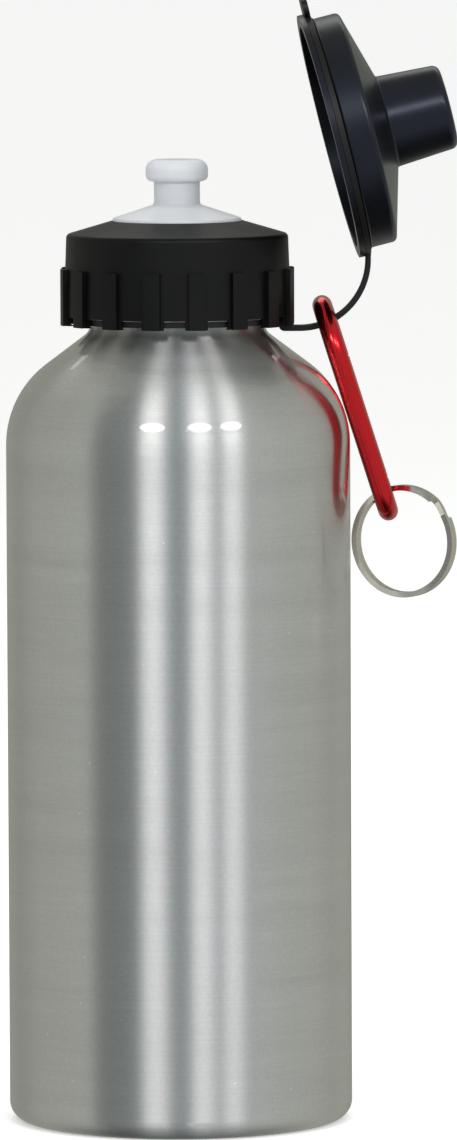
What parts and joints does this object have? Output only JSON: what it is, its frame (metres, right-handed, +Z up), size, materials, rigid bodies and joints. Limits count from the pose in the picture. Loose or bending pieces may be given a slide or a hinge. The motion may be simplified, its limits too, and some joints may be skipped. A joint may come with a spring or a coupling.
{
  "type": "sports bottle",
  "caption": "Aluminium drinking bottle with a ribbed screw cap, a push-pull spout, a tethered dust cover, a gated carabiner and a split key ring.",
  "frame": {"origin": "centre of the base on the bottle's axis, where its foot ring stands", "axes": "+Z up along the bottle, +X towards the open dust cover and the carabiner, -Y towards the front view"},
  "size_m": [0.0959, 0.073, 0.2383],
  "materials": {
    "bottle_metal": "brushed, clear lacquered",
    "cap_plastic": "satin",
    "gasket_silicone": "soft matte",
    "spout_plastic": "milky satin",
    "cover_plastic": "satin",
    "tether_plastic": "satin",
    "red_metal": "red anodised",
    "gate_steel": "bright",
    "ring_steel": "nickel plated"
  },
  "bodies": {
    "bottle": {"bottle_shell": "bottle_metal"},
    "seal": {"cap_gasket": "gasket_silicone"},
    "cap": {"screw_cap": "cap_plastic"},
    "spout": {"mouthpiece": "spout_plastic"},
    "tether": {"tether_neck_ring": "tether_plastic"},
    "strap": {"tether_strap": "tether_plastic"},
    "cover": {"dust_cover": "cover_plastic", "tether_cover_ring": "tether_plastic"},
    "carabiner": {"carabiner_frame": "red_metal", "gate_pin": "gate_steel"},
    "gate": {"carabiner_gate": "red_metal", "gate_spring": "gate_steel"},
    "plunger": {"gate_plunger": "gate_steel"},
    "ring": {"key_ring": "ring_steel"}
  },
  "joints": [
    {"name": "cap_lift", "type": "slide", "parent": "bottle", "child": "seal", "axis": [0, 0, 1], "range_m": [0, 0.02]},
    {"name": "cap_turn", "type": "hinge", "parent": "seal", "child": "cap", "pos_m": [0, 0, 0.184], "axis": [0, 0, 1], "range_deg": [0, 1800]},
    {"name": "spout_pull", "type": "slide", "parent": "cap", "child": "spout", "axis": [0, 0, 1], "range_m": [0, 0.003]},
    {"name": "tether_swivel", "type": "hinge", "parent": "seal", "child": "tether", "pos_m": [0, 0, 0.16995], "axis": [0, 0, 1], "continuous": true},
    {"name": "cover_lift", "type": "slide", "parent": "tether", "child": "strap", "axis": [0, 0, 1], "range_m": [-0.012, 0], "stiffness_N_per_m": 30, "springref_m": 0.0015, "deforming": ["tether_strap"]},
    {"name": "cover_swing", "type": "hinge", "parent": "strap", "child": "cover", "pos_m": [0.02595, 0, 0.18072], "axis": [-0.01, 0.9989, 0.0453], "range_deg": [-75.89, 0], "stiffness_Nm_per_rad": 0.002},
    {"name": "carabiner_swing", "type": "hinge", "parent": "tether", "child": "carabiner", "pos_m": [0.03068, 0, 0.1733], "axis": [0, -1, 0], "range_deg": [0, 75]},
    {"name": "gate_open", "type": "hinge", "parent": "carabiner", "child": "gate", "pos_m": [0.0419, 0.00668, 0.13795], "axis": [0.9531, 0, 0.3026], "range_deg": [0, 30], "stiffness_Nm_per_rad": 0.01, "springref_deg": -17.19},
    {"name": "plunger_slide", "type": "slide", "parent": "gate", "child": "plunger", "axis": [-0.2997, 0.1375, 0.9441], "range_m": [0, 0.00075], "deforming": ["gate_spring"]},
    {"name": "key_ring_swing", "type": "hinge", "parent": "carabiner", "child": "ring", "pos_m": [0.04451, 0, 0.12975], "axis": [-0.4695, -0.8829, 0], "range_deg": [0, 45]}
  ],
  "couplings": [
    {"joint": "cap_turn", "follows": "cap_lift", "rad_per_m": 1570.8},
    {"joint": "plunger_slide", "follows": "gate_open", "m_per_rad": 0.0014}
  ]
}
